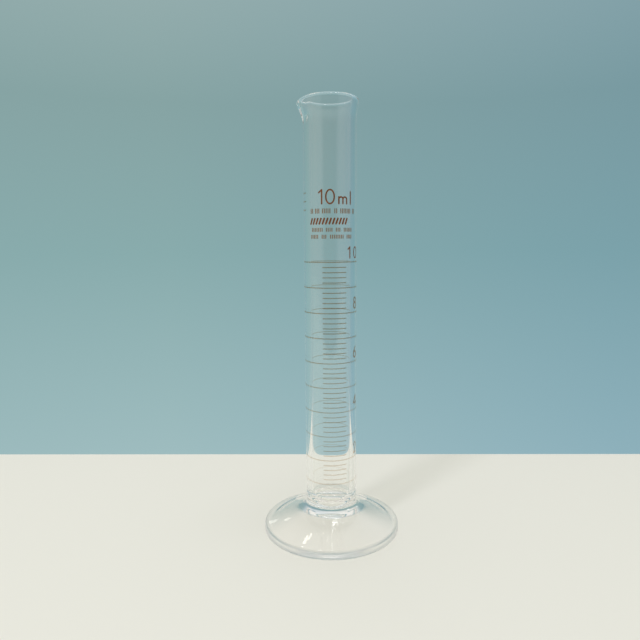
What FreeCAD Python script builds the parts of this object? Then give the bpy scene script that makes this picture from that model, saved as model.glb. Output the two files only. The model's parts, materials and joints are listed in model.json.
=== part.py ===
import FreeCAD, Part
import math
import os

import Sketcher
from FreeCAD import Placement, Rotation, Vector

# A 10 ml measuring cylinder of clear glass: a round-bottomed tube with a flared, fire-polished
# mouth and a pouring spout, set into a round pressed foot, with a stained-on scale and inscription.
#
# Frame: origin at the centre of the foot's underside, +Z up along the tube. The inscription faces
# -Y and the spout points to -X. Millimetres and degrees. An azimuth is counted round the tube from
# the -Y side towards +X.

SIZES = {
    # the whole object
    "total_height": 140.0,
    # tube
    "bore_diameter": 12.66,
    "wall_thickness": 2.0,
    "bore_floor_height": 8.15,
    "tube_end_height": 6.1,
    "tube_end_round": 4.5,
    # mouth and spout
    "mouth_start_height": 131.5,
    "rim_diameter": 18.1,
    "rim_wall": 1.95,
    "rim_round": 0.85,
    "spout_reach": 10.3,
    "spout_nose_angle": 9.0,
    # foot
    "foot_diameter": 45.0,
    "foot_edge_height": 3.0,
    "foot_top_round": 1.1,
    "foot_base_round": 0.8,
    "cone_curve": 60.0,
    "neck_height": 10.7,
    "neck_spread_radius": 10.4,
    "neck_spread_height": 7.2,
    "neck_curve": 4.05,
    "hollow_radius": 20.5,
    "hollow_shoulder_radius": 6.0,
    "hollow_shoulder_height": 5.1,
    "hollow_depth": 5.4,
    # stain print
    "stain_thickness": 0.05,
    "line_width": 0.3,
    "short_line_angle": 53.0,
    "short_line_azimuth": 8.5,
    "numeral_height": 3.8,
    "numeral_gap": 1.05,
    "numeral_stroke": 0.42,
    "capacity_height": 4.6,
    "capacity_base": 107.2,
    "capacity_stroke": 0.46,
    "bold_row_base": 101.15,
    "bold_row_height": 2.1,
    "bold_row_stroke": 0.55,
    "first_row_base": 104.5,
    "first_row_height": 1.5,
    "second_row_base": 99.0,
    "third_row_base": 96.9,
    "small_row_height": 1.2,
    "tick_angle": 2.0,
    "tick_pitch_angle": 3.9,
    "side_lines_base": 105.8,
    "side_lines_pitch": 2.6,
    "side_lines_angle": 32.0,
    "side_lines_azimuth": -80.0,
}

RINGS = 10
SHORT_LINES_PER_ML = 4
# The labelled millilitres, each with its digits and the azimuth of each digit.
NUMERALS = {
    10: (("one", 45.0), ("zero", 67.0)),
    8: (("eight", 66.0),),
    6: (("six", 66.0),),
    4: (("four", 66.0),),
    2: (("two", 66.0),),
}
# Plain upright ticks stand for the small print: each word's first azimuth and its number of ticks.
FIRST_ROW_WORDS = ((-45.0, 2), (-33.0, 3), (-17.0, 5), (9.0, 2), (22.0, 7), (55.0, 2))
SECOND_ROW_WORDS = ((-41.5, 7), (-9.0, 4), (12.0, 3), (30.0, 6))
THIRD_ROW_WORDS = ((-44.0, 5), (-18.0, 3), (0.0, 8), (37.4, 4))
BOLD_STROKES = 12
BOLD_FIRST_AZIMUTH = -44.0
BOLD_PITCH_ANGLE = 7.2
SIDE_LINES = 3
STAMP_DEPTH = 1.0
OUTLINE_POINTS = 72
MOUTH_SECTIONS = 8
LIP_SECTIONS = 4
LIP_ANGLE = 80.0
SPOUT_DELAY = 0.08

TUBE_RADIUS = "(sizes.bore_diameter / 2 + sizes.wall_thickness)"
BORE_RADIUS = "(sizes.bore_diameter / 2)"
RIM_RADIUS = "(sizes.rim_diameter / 2)"
FOOT_RADIUS = "(sizes.foot_diameter / 2)"
# One millilitre fills this length of the bore.
ML_PITCH = "(4000 / (pi * sizes.bore_diameter ^ 2))"
# The round floor holds less than a flat one, so the scale's zero lies a third of the radius above it.
ZERO_HEIGHT = "(sizes.bore_floor_height + sizes.bore_diameter / 6)"

doc = FreeCAD.newDocument("measuring_cylinder")
sheet = doc.addObject("Spreadsheet::Sheet", "sizes")


def fill_sheet():
    """Write the driving dimensions as plain numbers, each with its alias."""
    for row, (alias, value) in enumerate(SIZES.items(), start=1):
        sheet.set(f"A{row}", alias)
        sheet.set(f"B{row}", str(value))
        sheet.setAlias(f"B{row}", alias)
    doc.recompute()


def number(expression):
    """The present value of an expression over the sheet."""
    value = sheet.evalExpression(expression)
    return float(getattr(value, "Value", value))


def scale_height(millilitres):
    return f"({ZERO_HEIGHT} + {millilitres} * {ML_PITCH})"


def origin_feature(body, role):
    return next(f for f in body.Origin.OriginFeatures if f.Role == role)


def new_body(label):
    body = doc.addObject("PartDesign::Body", label)
    body.Label = label
    return body


def new_sketch(body, name, plane, lift=None):
    """A sketch on one of the body's own planes, raised along its normal by an expression."""
    sketch = body.newObject("Sketcher::SketchObject", name)
    sketch.AttachmentSupport = [(origin_feature(body, plane), "")]
    sketch.MapMode = "FlatFace"
    if lift:
        sketch.setExpression("AttachmentOffset.Base.z", lift)
        doc.recompute()
    return sketch


def bind(sketch, constraint, expression):
    """Add a dimension and drive it from the sheet."""
    index = sketch.addConstraint(constraint)
    sketch.setExpression(f"Constraints[{index}]", expression)


def pin_point(sketch, geometry, end, across, up):
    """Fix an end point of a segment by its two expressions, measured from the origin."""
    for kind, expression in (("DistanceX", across), ("DistanceY", up)):
        value = number(expression)
        if abs(value) < 1e-9:
            axis = -2 if kind == "DistanceX" else -1
            sketch.addConstraint(Sketcher.Constraint("PointOnObject", geometry, end, axis))
        else:
            bind(sketch, Sketcher.Constraint(kind, -1, 1, geometry, end, value), expression)


def arc_between(start, end, radius, turn):
    """The arc of a circle from start to end, bulging to the left of its way (turn 1) or right (-1)."""
    first = Vector(start[0], start[1], 0)
    last = Vector(end[0], end[1], 0)
    chord = last - first
    half = chord.Length / 2
    left = Vector(-chord.y, chord.x, 0).normalize()
    drop = math.sqrt(max(radius * radius - half * half, 0.0))
    middle = (first + last) / 2
    top = middle + left * turn * (radius - drop)
    return Part.Arc(first, top, last)


def revolve_profile(body, name, corners, angle=None):
    """Turn a closed outline in the XZ plane about +Z.

    Each corner is (radius, height) or (radius, height, arc radius, turn), the arc leading from
    that corner to the next one."""
    sketch = new_sketch(body, f"{name}_profile", "XZ_Plane")
    points = [(number(corner[0]), number(corner[1])) for corner in corners]
    for index, corner in enumerate(corners):
        start = points[index]
        end = points[(index + 1) % len(points)]
        if len(corner) == 2:
            piece = Part.LineSegment(Vector(start[0], start[1], 0), Vector(end[0], end[1], 0))
            sketch.addGeometry(piece)
        else:
            sketch.addGeometry(arc_between(start, end, number(corner[2]), corner[3]))
    ends = [segment_ends(sketch, index, points[index]) for index in range(len(corners))]
    for index, corner in enumerate(corners):
        following = (index + 1) % len(corners)
        last = ends[index][1]
        first = ends[following][0]
        sketch.addConstraint(Sketcher.Constraint("Coincident", index, last, following, first))
        pin_point(sketch, index, ends[index][0], corner[0], corner[1])
        if len(corner) > 2:
            bind(sketch, Sketcher.Constraint("Radius", index, number(corner[2])), corner[2])
    doc.recompute()
    turned = body.newObject("PartDesign::Revolution", name)
    turned.Profile = sketch
    turned.ReferenceAxis = (origin_feature(body, "Z_Axis"), [""])
    turned.Angle = 360.0
    if angle:
        turned.setExpression("Angle", angle)
        turned.Midplane = True
    doc.recompute()
    return turned


def segment_ends(sketch, index, start):
    """Which end codes (1 or 2) of a segment are its start and its end along the outline."""
    first = sketch.getPoint(index, 1)
    if (first - Vector(start[0], start[1], 0)).Length < 1e-6:
        return (1, 2)
    return (2, 1)


def outline_radius(circle, reach, turn):
    """Distance from the axis to the mouth's outline, at an angle turn from the spout's middle.

    The outline is a circle with two tangents that meet in a rounded nose at the given reach."""
    nose = math.radians(number("sizes.spout_nose_angle"))
    spread = nose + math.acos(min(1.0, circle / reach))
    lean = max(0.0, spread - math.hypot(turn, nose))
    return circle / math.cos(lean)


def outline_wire(height, circle, reach, inset):
    """One closed smooth outline of the mouth, drawn in by inset."""
    points = []
    for step in range(OUTLINE_POINTS):
        turn = math.pi * (2 * step / OUTLINE_POINTS - 1)
        radius = outline_radius(circle, reach, turn) - inset
        points.append(Vector(-radius * math.cos(turn), -radius * math.sin(turn), height))
    curve = Part.BSplineCurve()
    curve.interpolate(Points=points, PeriodicFlag=True)
    return Part.Wire(curve.toShape())


def smooth(part):
    """A soft step from 0 to 1."""
    part = min(1.0, max(0.0, part))
    return part * part * (3 - 2 * part)


def mouth_solid(label, straight, opened, reach, inward):
    """A solid that fills the mouth's outside (inward 1) or its opening (inward -1).

    The outline grows from the tube's circle to the open one, and the spout with it. The last
    stretch is the rounding of the fire-polished lip."""
    start = number("sizes.mouth_start_height")
    top = number("sizes.total_height")
    round_size = number("sizes.rim_round")
    foot = top - round_size
    sections = []
    for step in range(MOUTH_SECTIONS + 1):
        height = start + (foot - start) * step / MOUTH_SECTIONS
        sections.append((height, 0.0))
    for step in range(1, LIP_SECTIONS + 1):
        angle = math.radians(LIP_ANGLE * step / LIP_SECTIONS)
        height = foot + round_size * math.sin(angle)
        sections.append((height, round_size * (1 - math.cos(angle))))
    wires = []
    for height, inset in sections:
        part = (height - start) / (top - start)
        circle = straight + (opened - straight) * smooth(part) ** 2
        drawn = (reach - opened) * smooth(part * (1 + SPOUT_DELAY) - SPOUT_DELAY)
        wires.append(outline_wire(height, circle, circle + drawn, inward * inset))
    piece = doc.addObject("Part::Feature", label)
    piece.Shape = Part.makeLoft(wires, True, False)
    return piece


def make_tube():
    """The round-bottomed tube, its bore, its flared mouth and the spout."""
    wall = new_body("tube_wall")
    revolve_profile(
        wall,
        "closed_tube",
        [
            ("0", "sizes.tube_end_height"),
            (
                f"{TUBE_RADIUS} - sizes.tube_end_round",
                "sizes.tube_end_height",
                "sizes.tube_end_round",
                -1,
            ),
            (TUBE_RADIUS, "sizes.tube_end_height + sizes.tube_end_round"),
            (TUBE_RADIUS, "sizes.mouth_start_height"),
            (BORE_RADIUS, "sizes.mouth_start_height"),
            (BORE_RADIUS, f"sizes.bore_floor_height + {BORE_RADIUS}", BORE_RADIUS, 1),
            ("0", "sizes.bore_floor_height"),
        ],
    )
    outside = mouth_solid(
        "mouth_outside",
        number(TUBE_RADIUS),
        number(RIM_RADIUS),
        number("sizes.spout_reach"),
        1,
    )
    opening = mouth_solid(
        "mouth_opening",
        number(BORE_RADIUS),
        number(f"{RIM_RADIUS} - sizes.rim_wall"),
        number("sizes.spout_reach - sizes.rim_wall"),
        -1,
    )
    mouth = doc.addObject("Part::Cut", "mouth")
    mouth.Base = outside
    mouth.Tool = opening
    tube = doc.addObject("Part::Fuse", "measuring_tube")
    tube.Base = wall
    tube.Tool = mouth
    tube.Label = "measuring_tube"
    doc.recompute()
    return tube


def make_foot():
    """The round pressed foot: a low hollow cone that rises in a neck round the tube's closed end."""
    body = new_body("foot")
    edge = "sizes.foot_edge_height"
    revolve_profile(
        body,
        "foot_disc",
        [
            ("0", "sizes.hollow_depth"),
            ("sizes.hollow_shoulder_radius", "sizes.hollow_shoulder_height"),
            ("sizes.hollow_radius", "0"),
            (f"{FOOT_RADIUS} - sizes.foot_base_round", "0", "sizes.foot_base_round", -1),
            (FOOT_RADIUS, "sizes.foot_base_round"),
            (FOOT_RADIUS, f"{edge} - sizes.foot_top_round", "sizes.foot_top_round", -1),
            (f"{FOOT_RADIUS} - sizes.foot_top_round", edge, "sizes.cone_curve", 1),
            ("sizes.neck_spread_radius", "sizes.neck_spread_height", "sizes.neck_curve", 1),
            (TUBE_RADIUS, "sizes.neck_height"),
            (
                TUBE_RADIUS,
                "sizes.tube_end_height + sizes.tube_end_round",
                "sizes.tube_end_round",
                1,
            ),
            (f"{TUBE_RADIUS} - sizes.tube_end_round", "sizes.tube_end_height"),
            ("0", "sizes.tube_end_height"),
        ],
    )
    return body


def arc_line(label, heights_from, angle=None, azimuth=None, count=1, step=None):
    """A stained line round the tube, whole or partial, repeated upwards count times."""
    body = new_body(label)
    body.AllowCompound = True
    half = "sizes.line_width / 2"
    outside = f"{TUBE_RADIUS} + sizes.stain_thickness"
    line = revolve_profile(
        body,
        f"{label}_film",
        [
            (TUBE_RADIUS, f"{heights_from} - {half}"),
            (outside, f"{heights_from} - {half}"),
            (outside, f"{heights_from} + {half}"),
            (TUBE_RADIUS, f"{heights_from} + {half}"),
        ],
        angle=angle,
    )
    if count > 1:
        rows = body.newObject("PartDesign::LinearPattern", f"{label}_rows")
        rows.Originals = [line]
        rows.Direction = (origin_feature(body, "Z_Axis"), [""])
        rows.setExpression("Length", f"{step} * {count - 1}")
        rows.Occurrences = count
        body.Tip = rows
        doc.recompute()
    if azimuth:
        body.Placement = Placement(Vector(), Rotation(Vector(0, 0, 1), number(azimuth) - 90))
    return body


def make_scale_lines():
    """A full ring at each millilitre, and four short lines below each ring from the second up."""
    made = []
    for ml in range(1, RINGS + 1):
        made.append(arc_line(f"ring_line_{ml:02d}_ml", scale_height(ml)))
    fifth = f"{ML_PITCH} / {SHORT_LINES_PER_ML + 1}"
    for ml in range(1, RINGS):
        made.append(
            arc_line(
                f"short_lines_{ml:02d}_to_{ml + 1:02d}_ml",
                f"{scale_height(ml)} + {fifth}",
                angle="sizes.short_line_angle",
                azimuth="sizes.short_line_azimuth",
                count=SHORT_LINES_PER_ML,
                step=fifth,
            )
        )
    return made


def chain(*points):
    """The straight strokes between points that follow each other."""
    return list(zip(points, points[1:]))


# Each glyph is drawn by its centre lines in a cell one unit tall: strokes, straight between two
# points or an arc through three, and oval loops as (across, up, half width, half height).
GLYPHS = {
    "zero": ([], [(0.0, 0.5, 0.31, 0.5)]),
    "one": (chain((-0.2, 0.8), (0.03, 1.0), (0.03, 0.0)), []),
    "two": (
        [((-0.27, 0.74), (0.0, 1.0), (0.22, 0.58))] + chain((0.22, 0.58), (-0.28, 0.0), (0.3, 0.0)),
        [],
    ),
    "four": (chain((0.34, 0.27), (-0.32, 0.27), (0.14, 1.0), (0.14, 0.0)), []),
    "six": ([((-0.25, 0.37), (-0.13, 0.74), (0.17, 1.0))], [(0.0, 0.29, 0.28, 0.29)]),
    "eight": ([], [(0.0, 0.27, 0.28, 0.27), (0.0, 0.77, 0.23, 0.23)]),
    "letter_m": (
        [
            ((-0.68, 0.0), (-0.68, 1.0)),
            ((-0.68, 0.66), (-0.34, 1.0), (0.0, 0.66)),
            ((0.0, 0.66), (0.0, 0.0)),
            ((0.0, 0.66), (0.34, 1.0), (0.68, 0.66)),
            ((0.68, 0.66), (0.68, 0.0)),
        ],
        [],
    ),
    "letter_l": ([((0.0, 0.0), (0.0, 1.0))], []),
    "slant": ([((-0.18, 0.0), (0.18, 1.0))], []),
}


def stroke_face(points, rise, width):
    """A stroke with round ends in the XZ plane: a straight bar, or an arc drawn out in width."""
    spine = [Vector(x * rise, 0, z * rise) for x, z in points]
    half = width / 2
    if len(spine) > 2:
        arc = Part.Wire(Part.Arc(*spine).toShape())
        return Part.Face(arc.makeOffset2D(half, 0, False, False))
    start, end = spine
    along = (end - start).normalize() * half
    across = Vector(-along.z, 0, along.x)
    edges = [
        Part.LineSegment(start + across, end + across),
        Part.Arc(end + across, end + along, end - across),
        Part.LineSegment(end - across, start - across),
        Part.Arc(start - across, start - along, start + across),
    ]
    return Part.Face(Part.Wire([edge.toShape() for edge in edges]))


def oval_face(across, up, half_width, half_height):
    """A filled oval in the XZ plane."""
    tall = half_height >= half_width
    major, minor = (half_height, half_width) if tall else (half_width, half_height)
    oval = Part.Ellipse(Vector(), major, minor).toShape()
    oval.rotate(Vector(), Vector(0, 0, 1), 90 if tall else 0)
    oval.rotate(Vector(), Vector(1, 0, 0), 90)
    oval.translate(Vector(across, 0, up))
    return Part.Face(Part.Wire(oval))


def glyph_solid(name, height, stroke):
    """A glyph as a small upright plate, its front in the XZ plane and its depth towards +Y."""
    strokes, loops = GLYPHS[name]
    rise = height - stroke
    faces = [stroke_face(points, rise, stroke) for points in strokes]
    for across, up, half_width, half_height in loops:
        middle = (across * rise, up * rise)
        outer = oval_face(*middle, half_width * rise + stroke / 2, half_height * rise + stroke / 2)
        inner = oval_face(*middle, half_width * rise - stroke / 2, half_height * rise - stroke / 2)
        faces.append(outer.cut(inner))
    plates = [face.extrude(Vector(0, STAMP_DEPTH, 0)) for face in faces]
    whole = plates[0].multiFuse(plates[1:]) if len(plates) > 1 else plates[0]
    whole.translate(Vector(0, 0, stroke / 2))
    return whole


def make_print_skin():
    """The thin sleeve round the tube that every glyph is cut from."""
    cylinders = []
    for name, radius in (
        ("skin_outside", f"{TUBE_RADIUS} + sizes.stain_thickness"),
        ("skin_inside", TUBE_RADIUS),
    ):
        cylinder = doc.addObject("Part::Cylinder", name)
        cylinder.setExpression("Radius", radius)
        cylinder.setExpression("Height", "sizes.total_height")
        cylinders.append(cylinder)
    skin = doc.addObject("Part::Cut", "print_skin")
    skin.Base, skin.Tool = cylinders
    doc.recompute()
    return skin


def make_lettering(label, skin, base, stroke, characters):
    """Glyphs wrapped round the tube: each character is (glyph, azimuth, height expression)."""
    front = number(TUBE_RADIUS) + STAMP_DEPTH / 2
    plates = []
    for name, azimuth, height in characters:
        plate = glyph_solid(name, number(height), number(stroke))
        plate.translate(Vector(0, -front, 0))
        plate.rotate(Vector(), Vector(0, 0, 1), azimuth)
        plates.append(plate)
    stamp = doc.addObject("Part::Feature", f"{label}_stamp")
    stamp.Shape = Part.makeCompound(plates)
    stamp.setExpression("Placement.Base.z", base)
    film = doc.addObject("Part::Common", label)
    film.Label = label
    film.Base = stamp
    film.Tool = skin
    doc.recompute()
    return film


def make_numerals(skin):
    """The figures beside every second ring, standing just above their line."""
    return [
        make_lettering(
            f"scale_numeral_{ml:02d}",
            skin,
            f"{scale_height(ml)} + sizes.numeral_gap",
            "sizes.numeral_stroke",
            [(name, azimuth, "sizes.numeral_height") for name, azimuth in digits],
        )
        for ml, digits in NUMERALS.items()
    ]


def make_capacity_mark(skin):
    """The large figure of the cylinder's capacity, with its smaller unit."""
    tall = "sizes.capacity_height"
    return make_lettering(
        "capacity_mark",
        skin,
        "sizes.capacity_base",
        "sizes.capacity_stroke",
        [
            ("one", -19.5, tall),
            ("zero", -1.0, tall),
            ("letter_m", 27.0, f"{tall} * 0.53"),
            ("letter_l", 47.0, f"{tall} * 0.89"),
        ],
    )


def make_bold_row(skin):
    """A plain row of slanted strokes in the place of the maker's line."""
    return make_lettering(
        "bold_row",
        skin,
        "sizes.bold_row_base",
        "sizes.bold_row_stroke",
        [
            ("slant", BOLD_FIRST_AZIMUTH + index * BOLD_PITCH_ANGLE, "sizes.bold_row_height")
            for index in range(BOLD_STROKES)
        ],
    )


def make_small_row(label, base, tall, words):
    """A row of small print as words of upright ticks, one body per word in one compound."""
    bodies = []
    for index, (azimuth, ticks) in enumerate(words):
        body = new_body(f"{label}_word_{index}")
        body.AllowCompound = True
        outside = f"{TUBE_RADIUS} + sizes.stain_thickness"
        tick = revolve_profile(
            body,
            f"{label}_tick_{index}",
            [(TUBE_RADIUS, base), (outside, base), (outside, tall), (TUBE_RADIUS, tall)],
            angle="sizes.tick_angle",
        )
        pattern = body.newObject("PartDesign::PolarPattern", f"{label}_ticks_{index}")
        pattern.Originals = [tick]
        pattern.Axis = (origin_feature(body, "Z_Axis"), [""])
        pattern.setExpression("Angle", f"sizes.tick_pitch_angle * {ticks - 1}")
        pattern.Occurrences = ticks
        body.Tip = pattern
        body.Placement = Placement(Vector(), Rotation(Vector(0, 0, 1), azimuth - 90))
        bodies.append(body)
    row = doc.addObject("Part::Compound", label)
    row.Label = label
    row.Links = bodies
    doc.recompute()
    return row


def make_inscription(skin):
    """Everything printed above the scale."""
    small = "sizes.small_row_height"
    rows = (
        ("small_row_1", "sizes.first_row_base", "sizes.first_row_height", FIRST_ROW_WORDS),
        ("small_row_2", "sizes.second_row_base", small, SECOND_ROW_WORDS),
        ("small_row_3", "sizes.third_row_base", small, THIRD_ROW_WORDS),
    )
    made = [make_capacity_mark(skin), make_bold_row(skin)]
    made += [make_small_row(name, base, f"{base} + {tall}", words) for name, base, tall, words in rows]
    made.append(
        arc_line(
            "side_lines",
            "sizes.side_lines_base",
            angle="sizes.side_lines_angle",
            azimuth="sizes.side_lines_azimuth",
            count=SIDE_LINES,
            step="sizes.side_lines_pitch",
        )
    )
    return made


fill_sheet()
print_skin = make_print_skin()
pieces = [make_tube(), make_foot()]
pieces += make_scale_lines() + make_numerals(print_skin) + make_inscription(print_skin)
doc.recompute()


def check_document():
    """Stop if any object failed to compute or any piece is not a sound shape."""
    for item in doc.Objects:
        if "Invalid" in item.State or "Error" in item.State:
            raise RuntimeError(f"{item.Label}: {item.State}")
    for piece in pieces:
        if piece.Shape.isNull() or not piece.Shape.isValid():
            raise RuntimeError(f"{piece.Label} is not a valid solid")


check_document()
os.makedirs("parts", exist_ok=True)
for piece in pieces:
    piece.Shape.exportStep(f"parts/{piece.Label}.step")
    print(piece.Label, len(piece.Shape.Solids), round(piece.Shape.Volume, 3))
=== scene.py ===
import json
import math

import bmesh
import bpy
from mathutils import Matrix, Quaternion, Vector


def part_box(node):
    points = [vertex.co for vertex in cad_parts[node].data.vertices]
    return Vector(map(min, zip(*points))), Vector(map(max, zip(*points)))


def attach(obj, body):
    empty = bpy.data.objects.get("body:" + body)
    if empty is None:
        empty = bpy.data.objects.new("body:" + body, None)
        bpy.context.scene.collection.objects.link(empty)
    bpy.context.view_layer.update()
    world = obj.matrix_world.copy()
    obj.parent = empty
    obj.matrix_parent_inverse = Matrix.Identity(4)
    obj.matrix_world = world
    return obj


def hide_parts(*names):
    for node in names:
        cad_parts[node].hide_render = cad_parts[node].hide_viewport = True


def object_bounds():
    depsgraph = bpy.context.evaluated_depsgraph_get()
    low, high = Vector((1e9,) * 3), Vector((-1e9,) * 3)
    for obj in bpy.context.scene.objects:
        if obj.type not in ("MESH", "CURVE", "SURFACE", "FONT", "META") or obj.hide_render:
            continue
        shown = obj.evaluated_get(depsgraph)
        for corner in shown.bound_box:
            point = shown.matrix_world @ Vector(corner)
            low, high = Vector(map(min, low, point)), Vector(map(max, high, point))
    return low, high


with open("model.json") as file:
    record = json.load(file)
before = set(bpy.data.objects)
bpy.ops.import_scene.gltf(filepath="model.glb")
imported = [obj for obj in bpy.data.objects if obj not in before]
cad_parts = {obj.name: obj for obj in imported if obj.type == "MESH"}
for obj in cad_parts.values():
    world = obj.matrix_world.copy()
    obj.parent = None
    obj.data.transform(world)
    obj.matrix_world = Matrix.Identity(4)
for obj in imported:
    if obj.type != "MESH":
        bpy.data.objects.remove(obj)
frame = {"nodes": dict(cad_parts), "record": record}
cad_low, cad_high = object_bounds()

MM = 0.001

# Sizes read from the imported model, in metres.
TOTAL_HEIGHT = cad_high.z
FOOT_LOW, FOOT_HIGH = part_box("foot")
FOOT_RADIUS = min(FOOT_HIGH.x, -FOOT_LOW.x)
NECK_HEIGHT = FOOT_HIGH.z
TUBE_LOW, TUBE_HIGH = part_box("measuring_tube")
TUBE_END_HEIGHT = TUBE_LOW.z
RIM_RADIUS = TUBE_HIGH.x
SPOUT_REACH = -TUBE_LOW.x
MOUNTS = {mount["name"]: mount for mount in frame["record"]["mounts"]}
BORE = MOUNTS["tube_bore"]
BORE_RADIUS = BORE["dims"]["r_mm"] * MM

# The stain films are this thick, and are half sunk in the glass that they are fused into.
STAIN_THICKNESS = 0.05 * MM
STAIN_SUNK = 0.02 * MM
TUBE_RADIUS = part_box("ring_line_01_ml")[1].x - STAIN_THICKNESS + STAIN_SUNK

# The rest of the glass profile.
BORE_FLOOR_HEIGHT = 8.15 * MM
TUBE_END_ROUND = 4.5 * MM
MOUTH_START_HEIGHT = 131.5 * MM
RIM_WALL = 1.95 * MM
SPOUT_NOSE_ANGLE = math.radians(9.0)
SPOUT_DIP = 0.45 * MM
SPOUT_DELAY = 0.08
FOOT_EDGE_HEIGHT = 3.0 * MM
FOOT_TOP_ROUND = 1.1 * MM
FOOT_BASE_ROUND = 0.8 * MM
EDGE_WIDTH = 0.9 * MM
NECK_SPREAD_RADIUS = 10.4 * MM
NECK_SPREAD_HEIGHT = 7.2 * MM
NECK_CURVE = 4.05 * MM
CONE_CURVE = 60.0 * MM
HOLLOW_RADIUS = 20.5 * MM
HOLLOW_SHOULDER_RADIUS = 6.0 * MM
HOLLOW_SHOULDER_HEIGHT = 5.1 * MM
HOLLOW_DEPTH = 5.4 * MM

# The camera's place, its turn down and its roll in degrees, and its lens and sensor.
CAMERA_PLACE = (-3.26 * MM, -186.4 * MM, 95.75 * MM)
CAMERA_DOWN = 7.63
CAMERA_ROLL = 0.393
CAMERA_LENS = 32.52
CAMERA_SENSOR = 36.0

# The wall's colour from its foot up to the ceiling, and the light that fills the room.
WALL_FOOT = (0.36, 0.52, 0.54, 1.0)
WALL_COLOURS = (
    (0.385, (0.25, 0.41, 0.415, 1.0)),
    (0.62, (0.24, 0.37, 0.37, 1.0)),
    (0.78, (0.30, 0.42, 0.42, 1.0)),
)
CEILING = (0.85, 0.85, 0.81, 1.0)
# The wall is shaded bluer towards the right.
WALL_SHADE = (0.8, 0.88, 0.97, 1.0)
AMBIENT = (0.715, 0.725, 0.68, 1.0)
# The room in front of the bench from left to right: light sides and a dimmer middle.
ROOM_SIDE = (0.59, 0.54, 0.525, 1.0)
ROOM_MIDDLE = (0.27, 0.225, 0.19, 1.0)
ROOM_COLOURS = ((0.14, ROOM_SIDE), (0.25, ROOM_MIDDLE), (0.75, ROOM_MIDDLE), (0.86, ROOM_SIDE))
# Where each change lies, from one direction to another on a sphere of radius 1: the wall's
# colours upwards, its shading to the right, the room's turn into the wall backwards, and the
# room's turn into the ceiling upwards.
WALL_SPAN = (-0.4, 0.6)
SHADE_SPAN = (-0.25, 0.45)
BEHIND_SPAN = (0.1, 0.6)
OVERHEAD_SPAN = (0.3, 0.6)

# The table: how far it reaches behind, in front and to each side, and the skew of its far edge.
TABLE_BACK = 67 * MM
TABLE_FRONT = 0.3
TABLE_SIDE = 1.5
TABLE_THICKNESS = 20 * MM
TABLE_SKEW = 0.0164
TABLE_GAP = 0.02 * MM
TABLE_COLOUR = (0.8, 0.79, 0.745, 1.0)
TABLE_ROUGHNESS = 0.55

WARM = (1.0, 0.98, 0.94)
WHITE = (1.0, 0.99, 0.96)
COOL = (0.96, 0.98, 1.0)
# Each lamp's name, place, size, spin about its own axis in degrees, power in watts and colour.
LAMPS = (
    ("window_left", (-1.12, -1.33, 1.15), (0.3, 0.5), 0.0, 15.0, WARM),
    ("ceiling_front", (0.12, -0.16, 0.88), (0.45, 0.08), 20.0, 0.9, COOL),
    ("ceiling_back", (-0.202, 0.434, 0.76), (0.025, 0.08), -47.0, 0.04, WHITE),
    ("ceiling_middle", (-0.093, 0.326, 0.83), (0.02, 0.05), 0.0, 0.02, WHITE),
    ("window_back", (-0.31, 0.76, 0.39), (0.05, 0.05), 0.0, 0.015, WHITE),
)
LAMP_AIM = Vector((0.0, 0.0, 0.05))

# What passes each glass surface, and how much lamplight gets through the tube to the table.
DRAWN_TINT = (0.99, 0.994, 0.988, 1.0)
PRESSED_TINT = (0.995, 0.985, 0.97, 1.0)
# The foot's rim glass is tinted grey: painted shade for the darker band along the foot's edge.
EDGE_PAINTED_SHADE = (0.86, 0.85, 0.83, 1.0)
TUBE_FACING = (0.9, 0.9, 0.865, 1.0)
TUBE_GRAZING = (0.5, 0.51, 0.48, 1.0)
CLEAR = (1.0, 1.0, 1.0, 1.0)
GLASS_IOR = 1.474
GRAZING_BLEND = 0.35
RIPPLE_SCALE = 100.0
RIPPLE_STRENGTH = 0.35

# Dark and pale patches of the stain, and for each strength how much it covers and what passes it.
STAIN_DARK = (0.105, 0.034, 0.008, 1.0)
STAIN_PALE = (0.17, 0.057, 0.014, 1.0)
MOTTLE_SCALE = 900.0
STAIN_ROUGHNESS = 0.35
FULL_STAIN = ("brown_stain", 0.6, (1.0, 0.53, 0.28, 1.0))
ROW_STAIN = ("light_brown_stain", 0.36, (1.0, 0.71, 0.5, 1.0))
LINE_STAIN = ("thin_brown_stain", 0.18, (0.93, 0.83, 0.72, 1.0))

# Light that has passed this many glass surfaces is guided light, which the stain no longer dims.
SEEN_DEPTH = 5.5
# Light still guided along inside the glass after this many surfaces leaves it straight.
GUIDED_DEPTH = 8.5
# Two or three surfaces in, a print is met again as its own mirror image in the tube's wall.
MIRRORED_DEPTH = 2.5
MIRRORED_REACH = 1.0
# The stain fades towards the foot: full above the upper height, down to this share at the lower
# one.
FAINTEST_HEIGHT = 15 * MM
WHOLE_HEIGHT = 70 * MM
FAINTEST_SHARE = 0.35
# Enough bounces for light that is guided through the glass, and for straight ways out of it.
GLASS_BOUNCES = 160
STRAIGHT_BOUNCES = 512

AROUND = 256
MOUTH_STEPS = 28
LIP_STEPS = 14
QUARTER = math.pi / 2


def make_camera():
    """A normal lens a little above the middle of the scale, looking slightly down."""
    data = bpy.data.cameras.new("camera")
    data.sensor_width = CAMERA_SENSOR
    data.lens = CAMERA_LENS
    camera = bpy.data.objects.new("camera", data)
    camera.location = CAMERA_PLACE
    pitch = math.radians(90.0 - CAMERA_DOWN)
    roll = math.radians(CAMERA_ROLL)
    camera.rotation_euler = (pitch, roll, 0.0)
    camera.rotation_mode = "XYZ"
    bpy.context.scene.collection.objects.link(camera)
    bpy.context.scene.camera = camera
    return camera


def arc(centre, radius, start, end, steps):
    """Points (across, up) along an arc about a centre, from one angle to another."""
    points = []
    for step in range(steps + 1):
        angle = start + (end - start) * step / steps
        across, up = radius * math.cos(angle), radius * math.sin(angle)
        points.append((centre[0] + across, centre[1] + up))
    return points


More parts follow.
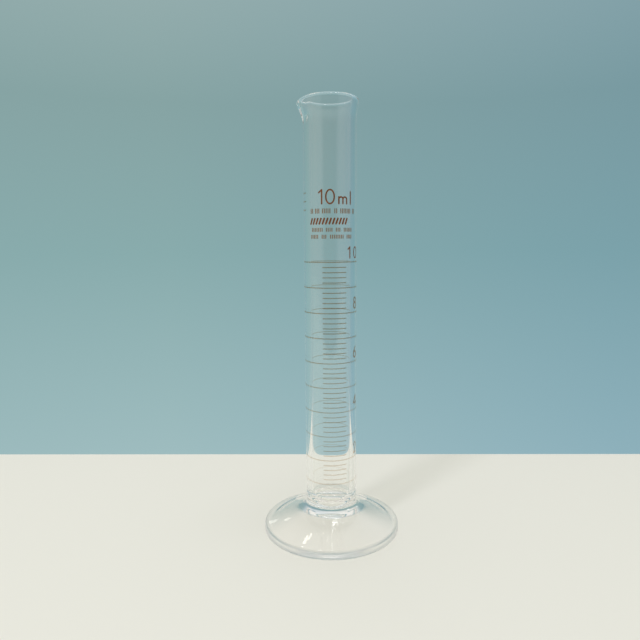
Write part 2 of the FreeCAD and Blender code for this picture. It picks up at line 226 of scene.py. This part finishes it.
def arc_through(start, end, radius, turn, steps):
    """The arc from start to end with a radius, bulging left (1) or right (-1) of its way."""
    middle = ((start[0] + end[0]) / 2, (start[1] + end[1]) / 2)
    run = (end[0] - start[0], end[1] - start[1])
    length = math.hypot(*run)
    left = (-run[1] / length, run[0] / length)
    back = math.sqrt(radius * radius - length * length / 4)
    centre = (middle[0] - left[0] * turn * back, middle[1] - left[1] * turn * back)
    first = math.atan2(start[1] - centre[1], start[0] - centre[0])
    last = math.atan2(end[1] - centre[1], end[0] - centre[0])
    if last - first > math.pi:
        last -= 2 * math.pi
    if first - last > math.pi:
        last += 2 * math.pi
    return arc(centre, radius, first, last, steps)


def straight(start, end, steps):
    """Points along a straight run, without its first one."""
    points = []
    run = (end[0] - start[0], end[1] - start[1])
    for step in range(1, steps + 1):
        part = step / steps
        points.append((start[0] + run[0] * part, start[1] + run[1] * part))
    return points


def smooth(part):
    """A soft step from 0 to 1."""
    part = min(1.0, max(0.0, part))
    return part * part * (3 - 2 * part)


def outline_radius(circle, reach, turn):
    """Distance from the axis to the mouth's outline, at an angle from the spout's middle."""
    spread = SPOUT_NOSE_ANGLE + math.acos(min(1.0, circle / reach))
    lean = max(0.0, spread - math.hypot(turn, SPOUT_NOSE_ANGLE))
    return circle / math.cos(lean)


def surface_mesh(name, rings, materials, ring_materials):
    """A closed skin from rings of points, bottom centre to top centre, with a point at each end."""
    made = bmesh.new()
    rows = []
    for ring in rings:
        rows.append([made.verts.new(point) for point in ring])
    for index, (low, high) in enumerate(zip(rows, rows[1:])):
        for step in range(AROUND):
            following = (step + 1) % AROUND
            corners = [low[step % len(low)], low[following % len(low)]]
            corners += [high[following % len(high)], high[step % len(high)]]
            unique = list(dict.fromkeys(corners))
            face = made.faces.new(unique)
            face.smooth = True
            face.material_index = ring_materials[index]
    bmesh.ops.recalc_face_normals(made, faces=made.faces)
    mesh = bpy.data.meshes.new(name)
    made.to_mesh(mesh)
    made.free()
    piece = bpy.data.objects.new(name, mesh)
    bpy.context.scene.collection.objects.link(piece)
    for material in materials:
        mesh.materials.append(material)
    return piece


def ring_of(radius, height):
    """One ring of points about the axis; a ring of no size is a single point."""
    if radius < 1e-7:
        return [Vector((0.0, 0.0, height))]
    points = []
    for step in range(AROUND):
        angle = 2 * math.pi * step / AROUND
        points.append(Vector((radius * math.cos(angle), radius * math.sin(angle), height)))
    return points


def mouth_ring(circle, reach, height, share):
    """One ring of the mouth, with the spout towards -X, and its share of the spout's dip."""
    points = []
    for step in range(AROUND):
        angle = 2 * math.pi * step / AROUND
        turn = math.remainder(angle - math.pi, 2 * math.pi)
        radius = outline_radius(circle, reach, turn)
        drawn = (radius - circle) / max(reach - circle, 1e-9)
        lowered = height - SPOUT_DIP * share * min(1.0, drawn)
        points.append(Vector((radius * math.cos(angle), radius * math.sin(angle), lowered)))
    return points


def joint_profile():
    """The fused joint between tube and foot: from the axis out to the foot's neck."""
    turn_centre = (TUBE_RADIUS - TUBE_END_ROUND, TUBE_END_HEIGHT + TUBE_END_ROUND)
    middle = (0.0, TUBE_END_HEIGHT)
    flat = [middle] + straight(middle, (turn_centre[0], TUBE_END_HEIGHT), 3)
    rounded = arc(turn_centre, TUBE_END_ROUND, -QUARTER, 0.0, 10)[1:]
    return flat + rounded + [(TUBE_RADIUS, NECK_HEIGHT)]


def make_foot(glass, joint, edge):
    """The round foot as a closed solid: hollowed underside, edge, cone, neck and the joint."""
    base_centre = (FOOT_RADIUS - FOOT_BASE_ROUND, FOOT_BASE_ROUND)
    top_centre = (FOOT_RADIUS - FOOT_TOP_ROUND, FOOT_EDGE_HEIGHT - FOOT_TOP_ROUND)
    outer = [(0.0, HOLLOW_DEPTH)]
    shoulder = (HOLLOW_SHOULDER_RADIUS, HOLLOW_SHOULDER_HEIGHT)
    outer += straight((0.0, HOLLOW_DEPTH), shoulder, 6)
    outer += straight(shoulder, (HOLLOW_RADIUS, 0.0), 16)
    outer += straight((HOLLOW_RADIUS, 0.0), (base_centre[0], 0.0), 2)
    outer += arc(base_centre, FOOT_BASE_ROUND, -QUARTER, 0.0, 8)[1:]
    outer += arc(top_centre, FOOT_TOP_ROUND, 0.0, QUARTER * 0.75, 10)
    slope_start = outer[-1]
    slope_end = (NECK_SPREAD_RADIUS, NECK_SPREAD_HEIGHT)
    outer += arc_through(slope_start, slope_end, CONE_CURVE, 1, 16)[1:]
    outer += arc_through(slope_end, (TUBE_RADIUS, NECK_HEIGHT), NECK_CURVE, 1, 16)[1:]
    inner = list(reversed(joint_profile()))[1:]
    profile = outer + inner
    rings = [ring_of(*point) for point in profile]
    kinds = [0] * (len(outer) - 1) + [1] * len(inner)
    for index, (one, other) in enumerate(zip(profile, profile[1:])):
        # Faces at the rim get the grey-tinted glass, painted shade on the foot's edge.
        if min(one[0], other[0]) > FOOT_RADIUS - EDGE_WIDTH:
            kinds[index] = 2
    piece = surface_mesh("foot_glass", rings, [glass, joint, edge], kinds)
    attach(piece, "root")
    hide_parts("foot")
    return piece


def mouth_rings():
    """The mouth from the tube's outside, up the flare, over the lip and down to the bore."""
    lip = RIM_WALL / 2
    lip_height = TOTAL_HEIGHT - lip
    middle = RIM_RADIUS - lip
    middle_reach = SPOUT_REACH - lip
    rise = lip_height - MOUTH_START_HEIGHT
    outside, inside = [], []
    for step in range(1, MOUTH_STEPS + 1):
        part = step / MOUTH_STEPS
        height = MOUTH_START_HEIGHT + rise * part
        spread = smooth(part) ** 2
        drawn = smooth(part * (1 + SPOUT_DELAY) - SPOUT_DELAY)
        outer = TUBE_RADIUS + (RIM_RADIUS - TUBE_RADIUS) * spread
        inner = BORE_RADIUS + (RIM_RADIUS - RIM_WALL - BORE_RADIUS) * spread
        outer_reach = outer + (SPOUT_REACH - RIM_RADIUS) * drawn
        inner_reach = inner + (SPOUT_REACH - RIM_RADIUS) * drawn
        outside.append(mouth_ring(outer, outer_reach, height, part ** 3))
        inside.append(mouth_ring(inner, inner_reach, height, part ** 3))
    lips = []
    for across, up in arc((0.0, 0.0), lip, 0.0, math.pi, LIP_STEPS)[1:-1]:
        lips.append(mouth_ring(middle + across, middle_reach + across, lip_height + up, 1.0))
    return outside + lips + list(reversed(inside))


def make_tube(glass, joint, smooth_glass):
    """The tube as a closed solid: joint, outside, mouth, bore and the bore's round floor."""
    below = joint_profile()
    wall = straight(below[-1], (TUBE_RADIUS, MOUTH_START_HEIGHT), 24)
    bore_top = (BORE_RADIUS, MOUTH_START_HEIGHT)
    floor_centre = (0.0, BORE_FLOOR_HEIGHT + BORE_RADIUS)
    bore = [bore_top] + straight(bore_top, (BORE_RADIUS, floor_centre[1]), 24)
    floor = arc(floor_centre, BORE_RADIUS, 0.0, -QUARTER, 20)[1:]
    rings = [ring_of(*point) for point in below + wall]
    kinds = [1] * (len(below) - 1) + [0] * len(wall)
    mouth = mouth_rings()
    rest = [ring_of(*point) for point in bore + floor]
    kinds += [0] * (len(mouth) + len(bore)) + [2] * len(floor)
    materials = [glass, joint, smooth_glass]
    piece = surface_mesh("measuring_tube_glass", rings + mouth + rest, materials, kinds)
    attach(piece, "root")
    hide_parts("measuring_tube")
    return piece


def node(tree, kind, place, **values):
    """A new node of a tree, with its settings."""
    made = tree.nodes.new(kind)
    made.location = place
    for name, value in values.items():
        setattr(made, name, value)
    return made


def span_node(tree, place, span, interpolation="LINEAR"):
    """A node that turns the run of values in a span into 0 to 1."""
    made = node(tree, "ShaderNodeMapRange", place, interpolation_type=interpolation)
    made.inputs["From Min"].default_value = span[0]
    made.inputs["From Max"].default_value = span[1]
    return made


def glass_paths(tree, glass, facing, grazing):
    """Let lamplight fall straight through a glass shader, and let long guided light out of it."""
    output = tree.nodes["Material Output"]
    choose = node(tree, "ShaderNodeMixShader", (400, 0))
    path = node(tree, "ShaderNodeLightPath", (-100, 300))
    either = node(tree, "ShaderNodeMath", (100, 300), operation="MAXIMUM")
    graze = node(tree, "ShaderNodeLayerWeight", (-500, -500))
    graze.inputs["Blend"].default_value = GRAZING_BLEND
    shade = node(tree, "ShaderNodeValToRGB", (-250, -500))
    shade.color_ramp.elements[0].color = facing
    shade.color_ramp.elements[1].color = grazing
    lamps = node(tree, "ShaderNodeBsdfTransparent", (150, -350))
    tree.links.new(graze.outputs["Facing"], shade.inputs["Fac"])
    tree.links.new(shade.outputs["Color"], lamps.inputs["Color"])
    tree.links.new(path.outputs["Is Shadow Ray"], either.inputs[0])
    tree.links.new(path.outputs["Is Diffuse Ray"], either.inputs[1])
    tree.links.new(either.outputs["Value"], choose.inputs["Fac"])
    tree.links.new(glass.outputs["BSDF"], choose.inputs[1])
    tree.links.new(lamps.outputs["BSDF"], choose.inputs[2])
    guided = node(tree, "ShaderNodeMath", (400, 300), operation="GREATER_THAN")
    guided.inputs[1].default_value = GUIDED_DEPTH
    escape = node(tree, "ShaderNodeBsdfTransparent", (400, -350))
    leave = node(tree, "ShaderNodeMixShader", (600, 0))
    tree.links.new(path.outputs["Ray Depth"], guided.inputs[0])
    tree.links.new(guided.outputs["Value"], leave.inputs["Fac"])
    tree.links.new(choose.outputs["Shader"], leave.inputs[1])
    tree.links.new(escape.outputs["BSDF"], leave.inputs[2])
    tree.links.new(leave.outputs["Shader"], output.inputs["Surface"])


def glass_material(name, tint, shine, stretch, bump_distance, facing, grazing, roughness=0.0):
    """Clear glass with faint slow ripples from drawing or pressing."""
    material = bpy.data.materials.new(name)
    material.use_nodes = True
    tree = material.node_tree
    glass = tree.nodes["Principled BSDF"]
    glass.inputs["Base Color"].default_value = tint
    glass.inputs["Transmission Weight"].default_value = 1.0
    glass.inputs["Roughness"].default_value = roughness
    glass.inputs["IOR"].default_value = GLASS_IOR
    glass.inputs["Specular IOR Level"].default_value = shine
    where = node(tree, "ShaderNodeTexCoord", (-900, -200))
    mapping = node(tree, "ShaderNodeMapping", (-700, -200))
    mapping.inputs["Scale"].default_value = stretch
    ripple = node(tree, "ShaderNodeTexNoise", (-500, -200))
    ripple.inputs["Scale"].default_value = RIPPLE_SCALE
    ripple.inputs["Detail"].default_value = 1.5
    ripple.inputs["Roughness"].default_value = 0.4
    bump = node(tree, "ShaderNodeBump", (-250, -200))
    bump.inputs["Strength"].default_value = RIPPLE_STRENGTH
    bump.inputs["Distance"].default_value = bump_distance
    tree.links.new(where.outputs["Object"], mapping.inputs["Vector"])
    tree.links.new(mapping.outputs["Vector"], ripple.inputs["Vector"])
    tree.links.new(ripple.outputs["Fac"], bump.inputs["Height"])
    tree.links.new(bump.outputs["Normal"], glass.inputs["Normal"])
    glass_paths(tree, glass, facing, grazing)
    return material


def joint_material():
    """The fused joint inside the glass, where light passes from piece to piece unchanged."""
    material = bpy.data.materials.new("fused_joint")
    material.use_nodes = True
    tree = material.node_tree
    through = node(tree, "ShaderNodeBsdfTransparent", (0, -200))
    tree.links.new(through.outputs["BSDF"], tree.nodes["Material Output"].inputs["Surface"])
    return material


def stain_material(name, cover, through):
    """Brown stain fired into the glass: partly covering, partly a brown filter, a little uneven."""
    material = bpy.data.materials.new(name)
    material.use_nodes = True
    tree = material.node_tree
    shader = tree.nodes["Principled BSDF"]
    shader.inputs["Roughness"].default_value = STAIN_ROUGHNESS
    where = node(tree, "ShaderNodeTexCoord", (-900, 0))
    mottle = node(tree, "ShaderNodeTexNoise", (-700, 0))
    mottle.inputs["Scale"].default_value = MOTTLE_SCALE
    mottle.inputs["Detail"].default_value = 3.0
    ramp = node(tree, "ShaderNodeValToRGB", (-500, 0))
    ramp.color_ramp.elements[0].position = 0.3
    ramp.color_ramp.elements[0].color = STAIN_DARK
    ramp.color_ramp.elements[1].position = 0.7
    ramp.color_ramp.elements[1].color = STAIN_PALE
    stain_filter = node(tree, "ShaderNodeBsdfTransparent", (0, -300))
    path = node(tree, "ShaderNodeLightPath", (-500, 300))
    reached = node(tree, "ShaderNodeMath", (-400, 350), operation="LESS_THAN")
    reached.inputs[1].default_value = SEEN_DEPTH
    mirrored = node(tree, "ShaderNodeMath", (-400, 200), operation="COMPARE")
    mirrored.inputs[1].default_value = MIRRORED_DEPTH
    mirrored.inputs[2].default_value = MIRRORED_REACH
    seen = node(tree, "ShaderNodeMath", (-200, 300), operation="SUBTRACT", use_clamp=True)
    split = node(tree, "ShaderNodeSeparateXYZ", (-700, 500))
    # The stain's cover and filter fade towards the foot.
    fading = span_node(tree, (-500, 600), (FAINTEST_HEIGHT, WHOLE_HEIGHT))
    fading.inputs["To Min"].default_value = FAINTEST_SHARE
    shown = node(tree, "ShaderNodeMath", (-100, 450), operation="MULTIPLY")
    covering = node(tree, "ShaderNodeMath", (100, 300), operation="MULTIPLY")
    covering.inputs[1].default_value = cover
    tint = node(tree, "ShaderNodeMix", (-250, -300), data_type="RGBA")
    tint.inputs["A"].default_value = CLEAR
    tint.inputs["B"].default_value = through
    film = node(tree, "ShaderNodeMixShader", (250, 0))
    tree.links.new(path.outputs["Ray Depth"], reached.inputs[0])
    tree.links.new(path.outputs["Ray Depth"], mirrored.inputs[0])
    tree.links.new(reached.outputs["Value"], seen.inputs[0])
    tree.links.new(mirrored.outputs["Value"], seen.inputs[1])
    tree.links.new(where.outputs["Object"], split.inputs["Vector"])
    tree.links.new(split.outputs["Z"], fading.inputs["Value"])
    tree.links.new(fading.outputs["Result"], shown.inputs[0])
    tree.links.new(seen.outputs["Value"], shown.inputs[1])
    tree.links.new(shown.outputs["Value"], covering.inputs[0])
    tree.links.new(shown.outputs["Value"], tint.inputs["Factor"])
    tree.links.new(tint.outputs["Result"], stain_filter.inputs["Color"])
    tree.links.new(covering.outputs["Value"], film.inputs["Fac"])
    tree.links.new(where.outputs["Object"], mottle.inputs["Vector"])
    tree.links.new(mottle.outputs["Fac"], ramp.inputs["Fac"])
    tree.links.new(ramp.outputs["Color"], shader.inputs["Base Color"])
    tree.links.new(stain_filter.outputs["BSDF"], film.inputs[1])
    tree.links.new(shader.outputs["BSDF"], film.inputs[2])
    tree.links.new(film.outputs["Shader"], tree.nodes["Material Output"].inputs["Surface"])
    return material


def make_table():
    """A plain pale table whose far edge ends a little behind the cylinder."""
    material = bpy.data.materials.new("pale_table")
    material.use_nodes = True
    tree = material.node_tree
    shader = tree.nodes["Principled BSDF"]
    shader.inputs["Base Color"].default_value = TABLE_COLOUR
    shader.inputs["Roughness"].default_value = TABLE_ROUGHNESS
    made = bmesh.new()
    bmesh.ops.create_cube(made, size=1.0)
    for corner in made.verts:
        corner.co.x *= 2 * TABLE_SIDE
        edge = TABLE_BACK - TABLE_SKEW * corner.co.x
        corner.co.y = edge if corner.co.y > 0 else -TABLE_FRONT
        corner.co.z = -TABLE_GAP if corner.co.z > 0 else -TABLE_THICKNESS
    mesh = bpy.data.meshes.new("table")
    made.to_mesh(mesh)
    made.free()
    mesh.materials.append(material)
    table = bpy.data.objects.new("table", mesh)
    bpy.context.scene.collection.objects.link(table)
    return table


def make_surround():
    """A grey-green wall behind, paler at its foot, a pale ceiling and a plain room in front."""
    world = bpy.data.worlds.new("surround")
    bpy.context.scene.world = world
    world.use_nodes = True
    tree = world.node_tree
    background = tree.nodes["Background"]
    where = node(tree, "ShaderNodeTexCoord", (-1100, 0))
    split = node(tree, "ShaderNodeSeparateXYZ", (-900, 0))
    height = span_node(tree, (-700, 0), WALL_SPAN)
    wall = node(tree, "ShaderNodeValToRGB", (-500, 0))
    wall.color_ramp.elements[0].position = 0.0
    wall.color_ramp.elements[0].color = WALL_FOOT
    wall.color_ramp.elements[1].position = 1.0
    wall.color_ramp.elements[1].color = CEILING
    for position, colour in WALL_COLOURS:
        wall.color_ramp.elements.new(position).color = colour
    behind = span_node(tree, (-700, -300), BEHIND_SPAN, "SMOOTHSTEP")
    across = span_node(tree, (-700, -550), (-1.0, 1.0))
    front = node(tree, "ShaderNodeValToRGB", (-500, -550))
    front.color_ramp.interpolation = "EASE"
    front.color_ramp.elements[0].position = 0.0
    front.color_ramp.elements[0].color = ROOM_SIDE
    front.color_ramp.elements[1].position = 1.0
    front.color_ramp.elements[1].color = ROOM_SIDE
    for position, colour in ROOM_COLOURS:
        front.color_ramp.elements.new(position).color = colour
    overhead = span_node(tree, (-700, -800), OVERHEAD_SPAN, "SMOOTHSTEP")
    above = node(tree, "ShaderNodeMix", (-250, -550), data_type="RGBA")
    above.inputs["B"].default_value = CEILING
    aside = span_node(tree, (-700, 300), SHADE_SPAN)
    shaded = node(tree, "ShaderNodeMix", (-250, 100), data_type="RGBA", blend_type="MULTIPLY")
    shaded.inputs["B"].default_value = WALL_SHADE
    room = node(tree, "ShaderNodeMix", (-50, 0), data_type="RGBA")
    plain = node(tree, "ShaderNodeBackground", (0, -200))
    plain.inputs["Color"].default_value = AMBIENT
    path = node(tree, "ShaderNodeLightPath", (0, 300))
    choose = node(tree, "ShaderNodeMixShader", (250, 0))
    tree.links.new(where.outputs["Generated"], split.inputs["Vector"])
    tree.links.new(split.outputs["Z"], height.inputs["Value"])
    tree.links.new(split.outputs["Y"], behind.inputs["Value"])
    tree.links.new(split.outputs["X"], across.inputs["Value"])
    tree.links.new(split.outputs["X"], aside.inputs["Value"])
    tree.links.new(split.outputs["Z"], overhead.inputs["Value"])
    tree.links.new(height.outputs["Result"], wall.inputs["Fac"])
    tree.links.new(across.outputs["Result"], front.inputs["Fac"])
    tree.links.new(overhead.outputs["Result"], above.inputs["Factor"])
    tree.links.new(front.outputs["Color"], above.inputs["A"])
    tree.links.new(aside.outputs["Result"], shaded.inputs["Factor"])
    tree.links.new(wall.outputs["Color"], shaded.inputs["A"])
    tree.links.new(behind.outputs["Result"], room.inputs["Factor"])
    tree.links.new(above.outputs["Result"], room.inputs["A"])
    tree.links.new(shaded.outputs["Result"], room.inputs["B"])
    tree.links.new(room.outputs["Result"], background.inputs["Color"])
    tree.links.new(path.outputs["Is Diffuse Ray"], choose.inputs["Fac"])
    tree.links.new(background.outputs["Background"], choose.inputs[1])
    tree.links.new(plain.outputs["Background"], choose.inputs[2])
    tree.links.new(choose.outputs["Shader"], tree.nodes["World Output"].inputs["Surface"])


def soft_light(name, place, size, spin, power, colour):
    """A rectangular lamp aimed at the cylinder's lower part and turned about its own axis."""
    data = bpy.data.lights.new(name, "AREA")
    data.shape = "RECTANGLE"
    data.size, data.size_y = size
    data.energy = power
    data.color = colour
    light = bpy.data.objects.new(name, data)
    light.location = place
    aim = LAMP_AIM - Vector(place)
    turn = Quaternion((0.0, 0.0, 1.0), math.radians(spin))
    light.rotation_euler = (aim.to_track_quat("-Z", "Y") @ turn).to_euler()
    bpy.context.scene.collection.objects.link(light)
    return light


def light_the_scene():
    """A window and a few small lamps. The window only lights surfaces: glass doesn't show it."""
    for lamp in LAMPS:
        light = soft_light(*lamp)
        if light.name == "window_left":
            light.visible_transmission = False
            light.visible_glossy = False


make_camera()
scene = bpy.context.scene
scene.view_settings.view_transform = "Standard"
scene.cycles.max_bounces = GLASS_BOUNCES
scene.cycles.transmission_bounces = GLASS_BOUNCES
scene.cycles.glossy_bounces = GLASS_BOUNCES
scene.cycles.transparent_max_bounces = STRAIGHT_BOUNCES
make_table()
make_surround()
light_the_scene()

STRETCHED, EVEN = (1.0, 1.0, 0.12), (1.0, 1.0, 1.0)
drawn_glass = glass_material(
    "drawn_glass", DRAWN_TINT, 0.9, STRETCHED, 0.05 * MM, TUBE_FACING, TUBE_GRAZING
)
pressed_glass = glass_material("pressed_glass", PRESSED_TINT, 0.5, EVEN, 0.03 * MM, CLEAR, CLEAR)
# Rough rim glass tinted grey, painted shade for the foot's darker edge band.
painted_shade_edge_glass = glass_material("painted_shade_edge_glass", EDGE_PAINTED_SHADE, 0.5, EVEN, 0.08 * MM, CLEAR, CLEAR, 0.3)
joint = joint_material()
make_tube(drawn_glass, joint, pressed_glass)
make_foot(pressed_glass, joint, painted_shade_edge_glass)

full_stain = stain_material(*FULL_STAIN)
row_stain = stain_material(*ROW_STAIN)
line_stain = stain_material(*LINE_STAIN)
for name, print_node in frame["nodes"].items():
    stain = full_stain
    if name.startswith(("small_row", "scale_numeral_0")):
        stain = row_stain
    if name.startswith(("ring_line", "short_lines", "side_lines")):
        stain = line_stain
    if name not in ("measuring_tube", "foot"):
        for slot in print_node.material_slots:
            slot.material = stain
